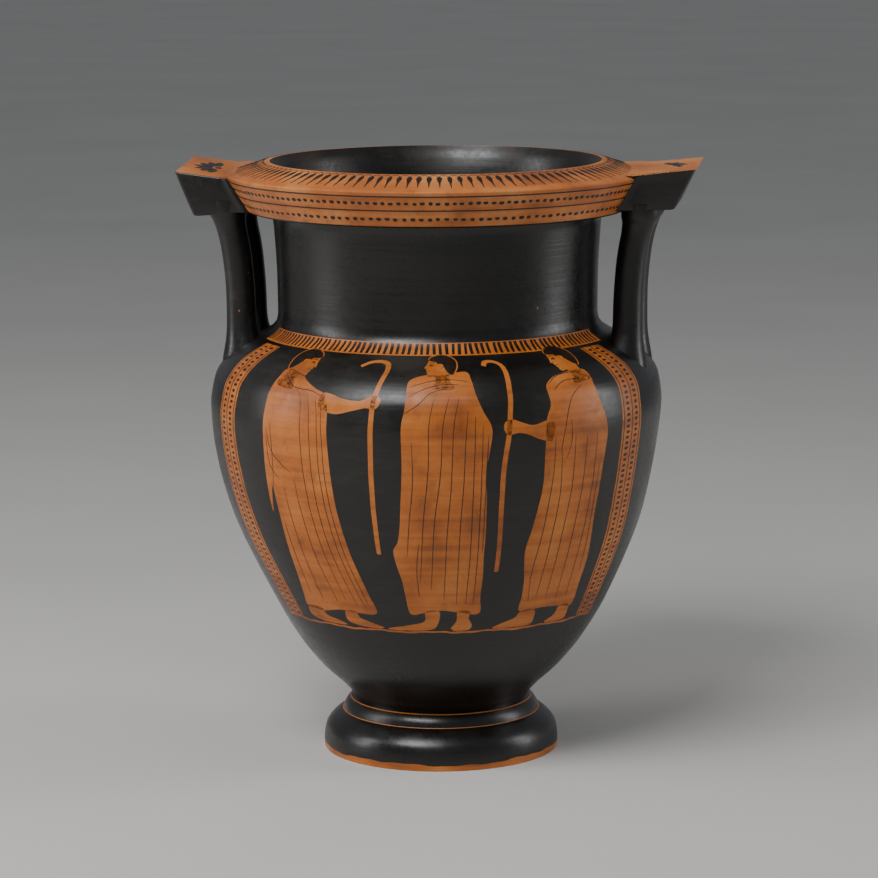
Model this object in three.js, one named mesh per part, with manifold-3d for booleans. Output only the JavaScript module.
// A column krater: a hollow, wheel-thrown mixing bowl on a stepped foot, with a straight neck,
// an overhanging lip, and on each side two columns that carry a flat plate level with the lip.
// It is fired in one piece, so it is one solid.
// Units are millimetres and +Z is up. The base stands on z = 0, the handles are on +X and -X,
// and the painted front faces -Y.
import * as THREE from 'three';
import { mergeVertices } from 'three/addons/utils/BufferGeometryUtils.js';
import Module from 'manifold-3d';

const wasm = await Module();
wasm.setup();

// --- Driving dimensions -------------------------------------------------------------------

// Facets round the thrown body, and round each handle column.
const BODY_SIDES = 48;
const COLUMN_SIDES = 12;

// Outside of the foot, from the resting edge to the joint with the body: [radius, height].
const FOOT_OUTSIDE = [
  [67.0, 0.0],
  [79.9, 0.0],
  [80.6, 4.4],
  [80.2, 10.0],
  [78.8, 16.0],
  [75.0, 21.0],
  [70.4, 24.8],
  [68.4, 26.2],
  [67.0, 26.6],
  [66.4, 29.4],
  [64.6, 32.6],
  [62.2, 34.8],
  [59.8, 36.4],
];

// Outside of the body, from the foot to the base of the neck.
const BODY_OUTSIDE = [
  [61.2, 39.0],
  [68.7, 47.4],
  [80.2, 57.8],
  [89.2, 68.0],
  [96.9, 78.2],
  [105.5, 91.8],
  [113.0, 105.4],
  [126.2, 132.6],
  [137.7, 159.8],
  [145.6, 187.0],
  [150.8, 214.2],
  [153.2, 238.0],
  [152.6, 249.0],
  [150.1, 260.8],
  [146.6, 266.8],
  [142.2, 272.2],
  [137.0, 276.8],
  [131.2, 280.8],
  [125.0, 284.4],
  [117.6, 288.4],
  [112.2, 292.2],
  [109.4, 295.8],
];

// Outside of the neck, then the underside, face and top of the lip, up to its inner ridge.
const NECK_OUTSIDE = [
  [108.5, 300.0],
  [108.4, 310.0],
  [108.8, 332.0],
  [109.9, 352.0],
  [111.2, 366.4],
  [113.2, 370.4],
];
const LIP_OUTSIDE = [
  [127.2, 371.2],
  [128.4, 372.2],
  [134.6, 382.4],
  [141.2, 393.6],
  [141.6, 395.0],
  [140.8, 395.9],
  [127.0, 400.5],
  [117.2, 403.6],
  [113.6, 404.2],
];

// Inside, from the floor up the wall and through the neck; it leaves the clay about 7.5 thick.
const INSIDE = [
  [0.0, 46.8],
  [42.0, 50.0],
  [60.5, 56.6],
  [76.0, 67.0],
  [88.6, 80.4],
  [104.6, 105.4],
  [117.9, 132.6],
  [129.2, 160.0],
  [137.4, 187.0],
  [142.2, 212.0],
  [144.4, 240.0],
  [140.6, 260.0],
  [134.8, 268.2],
  [127.4, 274.6],
  [109.6, 286.0],
  [103.6, 291.2],
  [101.2, 297.0],
  [100.5, 312.0],
  [102.2, 362.0],
  [104.6, 384.0],
  [108.2, 397.4],
  [110.8, 402.2],
  [112.8, 405.4],
];

// Hollow under the foot, from the resting edge up to the middle.
const UNDER_FOOT = [
  [67.6, -1.0],
  [66.0, 1.6],
  [60.0, 7.0],
  [48.0, 15.0],
  [30.0, 22.6],
  [0.0, 27.0],
];

// The axis is not quite straight: [height, sideways shift].
const SWAY = [
  [-1.0, 0.8],
  [60.0, 1.1],
  [105.0, 1.6],
  [130.0, 0.9],
  [158.0, -0.1],
  [190.0, -1.4],
  [214.0, -1.6],
  [246.0, -0.9],
  [285.0, 0.4],
  [360.0, 0.4],
  [406.0, -0.4],
];

// Handle columns: how far apart across the handle, and the path of each one's middle line
// as [height, distance from the vase's axis, radius].
const COLUMN_HALF_SPACING = 20.0;
const COLUMN_PATH = [
  [264.0, 130.6, 14.4],
  [270.0, 130.2, 14.2],
  [277.0, 129.8, 13.4],
  [283.0, 130.2, 12.0],
  [289.0, 130.9, 10.7],
  [296.0, 131.3, 10.1],
  [310.0, 131.5, 9.9],
  [323.0, 132.1, 9.8],
  [338.0, 133.5, 9.9],
  [349.0, 135.2, 10.0],
  [358.0, 137.2, 10.3],
  [365.0, 138.9, 11.4],
  [369.0, 139.8, 13.0],
  [378.0, 140.4, 13.4],
];

// Handle plates. Each is drawn in plan at every level, so that it follows the slope of the
// lip's face. The two differ a little, as hand-made ones do: top gives the height of the upper
// surface at the root and at the tip, each on the front side and on the back side.
const PLATE = {
  halfWidth: 32.5,
  cornerRadius: 3.0,
  filletRadius: 9.0,
  rootRadius: 142.0,
  levels: [0.0, 0.05, 0.5, 0.95, 1.0],
};
const PLATE_LEFT = {
  side: -1,
  reach: { bottom: 161.0, top: 173.6 },
  top: { root: [393.8, 399.0], tip: [397.6, 402.8] },
  bottom: { root: 370.0, tip: 366.0 },
};
const PLATE_RIGHT = {
  side: 1,
  reach: { bottom: 163.0, top: 177.0 },
  top: { root: [397.4, 400.4], tip: [401.4, 403.8] },
  bottom: { root: 373.4, tip: 375.4 },
};
// The slope of the lip's outer face, which the plates follow where they meet it.
const LIP_FACE = { bottomRadius: 128.4, bottomZ: 372.2, topRadius: 141.6, topZ: 394.6 };

// The right plate reaches a little further than the left one: this centres the whole piece.
const CENTRING = -1.7;

// --- Helpers ------------------------------------------------------------------------------

const toPoint = ([r, z]) => new THREE.Vector2(r, z);

/** Turn a [radius, height] profile round the Z axis. */
function turned(profile, sides) {
  const geometry = new THREE.LatheGeometry(profile.map(toPoint), sides);
  geometry.rotateX(Math.PI / 2);
  return geometry;
}

/** Let a turned shape follow the wandering axis. */
function swayed(geometry) {
  const position = geometry.getAttribute('position');
  for (let i = 0; i < position.count; i += 1) {
    position.setX(i, position.getX(i) + sway(position.getZ(i)));
  }
  return geometry;
}

/** A closed manifold solid from a three.js geometry. */
function toSolid(geometry) {
  const bare = new THREE.BufferGeometry();
  bare.setAttribute('position', geometry.getAttribute('position').clone());
  if (geometry.index) {
    bare.setIndex(geometry.index.clone());
  }
  const welded = mergeVertices(bare, 1e-4);
  const kept = [];
  const index = welded.index.array;
  for (let i = 0; i < index.length; i += 3) {
    const [a, b, c] = [index[i], index[i + 1], index[i + 2]];
    if (a !== b && b !== c && a !== c) {
      kept.push(a, b, c);
    }
  }
  const mesh = new wasm.Mesh({
    numProp: 3,
    vertProperties: new Float32Array(welded.getAttribute('position').array),
    triVerts: new Uint32Array(kept),
  });
  return new wasm.Manifold(mesh);
}

/** The three.js geometry of a manifold solid. */
function toGeometry(solid) {
  const mesh = solid.getMesh();
  const geometry = new THREE.BufferGeometry();
  const positions = new Float32Array(mesh.numVert * 3);
  for (let i = 0; i < mesh.numVert; i += 1) {
    for (let k = 0; k < 3; k += 1) {
      positions[3 * i + k] = mesh.vertProperties[i * mesh.numProp + k];
    }
  }
  geometry.setAttribute('position', new THREE.BufferAttribute(positions, 3));
  geometry.setIndex(new THREE.BufferAttribute(new Uint32Array(mesh.triVerts), 1));
  geometry.computeVertexNormals();
  return geometry;
}

const mix = (a, b, t) => a + (b - a) * t;
const clamp = (value, low, high) => Math.min(Math.max(value, low), high);

/** How far the wheel-thrown axis wanders sideways at a height. */
function sway(z) {
  const next = SWAY.findIndex(([height]) => height >= z);
  if (next <= 0) {
    return next === 0 ? SWAY[0][1] : 0;
  }
  const [low, high] = [SWAY[next - 1], SWAY[next]];
  return mix(low[1], high[1], (z - low[0]) / (high[0] - low[0]));
}

// --- Handles ------------------------------------------------------------------------------

/** One handle column: turned straight, then bent along its path and moved to its place. */
function column(side, across) {
  const first = COLUMN_PATH[0];
  const last = COLUMN_PATH[COLUMN_PATH.length - 1];
  const profile = [[0, first[0]]];
  for (const [z, , radius] of COLUMN_PATH) {
    profile.push([radius, z]);
  }
  profile.push([0, last[0]]);
  const geometry = turned(profile, COLUMN_SIDES);
  const position = geometry.getAttribute('position');
  for (let i = 0; i < position.count; i += 1) {
    const z = position.getZ(i);
    const row = COLUMN_PATH.reduce((best, entry) => (
      Math.abs(entry[0] - z) < Math.abs(best[0] - z) ? entry : best));
    position.setX(i, position.getX(i) + side * row[1]);
    position.setY(i, position.getY(i) + across);
  }
  return toSolid(geometry);
}

/** Half of a plate's outline in plan, from inside the lip to the middle of its outer end. */
function halfOutline(lipRadius, reach) {
  const { halfWidth, cornerRadius, filletRadius } = PLATE;
  const centreY = halfWidth + filletRadius;
  const centreX = Math.sqrt((lipRadius + filletRadius) ** 2 - centreY ** 2);
  const touch = Math.atan2(centreY, centreX);
  const points = [[lipRadius - 16, centreY * 0.8]];
  const start = touch + Math.PI;
  const end = 1.5 * Math.PI;
  for (let k = 0; k <= 4; k += 1) {
    const angle = mix(start, end, k / 4);
    points.push([
      centreX + filletRadius * Math.cos(angle),
      centreY + filletRadius * Math.sin(angle),
    ]);
  }
  for (let k = 0; k <= 2; k += 1) {
    const angle = mix(Math.PI / 2, 0, k / 2);
    points.push([
      reach - cornerRadius + cornerRadius * Math.cos(angle),
      halfWidth - cornerRadius + cornerRadius * Math.sin(angle),
    ]);
  }
  return points;
}

/** One handle plate, built level by level from its underside to its top. */
function plate({ side, reach, top, bottom }) {
  const positions = [];
  const index = [];
  const { topRadius, bottomRadius, topZ, bottomZ } = LIP_FACE;
  const slope = (topRadius - bottomRadius) / (topZ - bottomZ);
  let count = 0;
  for (const v of PLATE.levels) {
    const inset = v === 0 || v === 1 ? 1.2 : 0;
    const lip = bottomRadius + (topZ - bottomZ) * v * slope;
    const half = halfOutline(lip, mix(reach.bottom, reach.top, v) - inset);
    const ring = half.concat(half.map(([x, y]) => [x, -y]).reverse());
    for (const [x, y] of ring) {
      const t = clamp((x - PLATE.rootRadius) / (reach.top - PLATE.rootRadius), 0, 1);
      const back = clamp(0.5 + y / (2 * PLATE.halfWidth), 0, 1);
      const upper = mix(mix(...top.root, back), mix(...top.tip, back), t);
      const under = mix(bottom.root, bottom.tip, t);
      const across = y * (1 - inset / PLATE.halfWidth);
      positions.push(side * x, across, mix(under, upper, v));
    }
    count = ring.length;
  }
  const levels = PLATE.levels.length;
  for (let j = 0; j + 1 < levels; j += 1) {
    for (let i = 0; i < count; i += 1) {
      const a = j * count + i;
      const b = j * count + ((i + 1) % count);
      index.push(a, a + count, b, b, a + count, b + count);
    }
  }
  for (let i = 0; i + 1 < count / 2; i += 1) {
    const mirrored = count - 1 - i;
    index.push(i, i + 1, mirrored, i + 1, mirrored - 1, mirrored);
    const up = (levels - 1) * count;
    index.push(up + i, up + mirrored, up + i + 1, up + i + 1, up + mirrored, up + mirrored - 1);
  }
  if (side < 0) {
    for (let i = 0; i < index.length; i += 3) {
      [index[i], index[i + 1]] = [index[i + 1], index[i]];
    }
  }
  const geometry = new THREE.BufferGeometry();
  geometry.setAttribute('position', new THREE.BufferAttribute(new Float32Array(positions), 3));
  geometry.setIndex(index);
  return toSolid(geometry);
}

// --- The krater ---------------------------------------------------------------------------

/** The whole fired piece: thrown body, handles and plates joined, then hollowed. */
function krater() {
  const ridge = LIP_OUTSIDE[LIP_OUTSIDE.length - 1];
  const outside = [
    [0, 0],
    ...FOOT_OUTSIDE,
    ...BODY_OUTSIDE,
    ...NECK_OUTSIDE,
    ...LIP_OUTSIDE,
    [0, ridge[1]],
  ];
  const inside = [...INSIDE, [0, INSIDE[INSIDE.length - 1][1]]];
  const underFoot = [[0, UNDER_FOOT[0][1]], ...UNDER_FOOT];

  let solid = toSolid(swayed(turned(outside, BODY_SIDES)));
  for (const side of [-1, 1]) {
    for (const across of [-COLUMN_HALF_SPACING, COLUMN_HALF_SPACING]) {
      solid = solid.add(column(side, across));
    }
  }
  solid = solid.add(plate(PLATE_LEFT));
  solid = solid.add(plate(PLATE_RIGHT));
  solid = solid.subtract(toSolid(swayed(turned(inside, BODY_SIDES))));
  solid = solid.subtract(toSolid(swayed(turned(underFoot, BODY_SIDES))));
  return solid.translate([CENTRING, 0, 0]);
}

const gloss = new THREE.MeshStandardMaterial({ color: 0x1d1a18, roughness: 0.32, metalness: 0 });
const mesh = new THREE.Mesh(toGeometry(krater()), gloss);
mesh.name = 'krater';

const group = new THREE.Group();
group.name = 'column_krater';
group.add(mesh);

export default group;
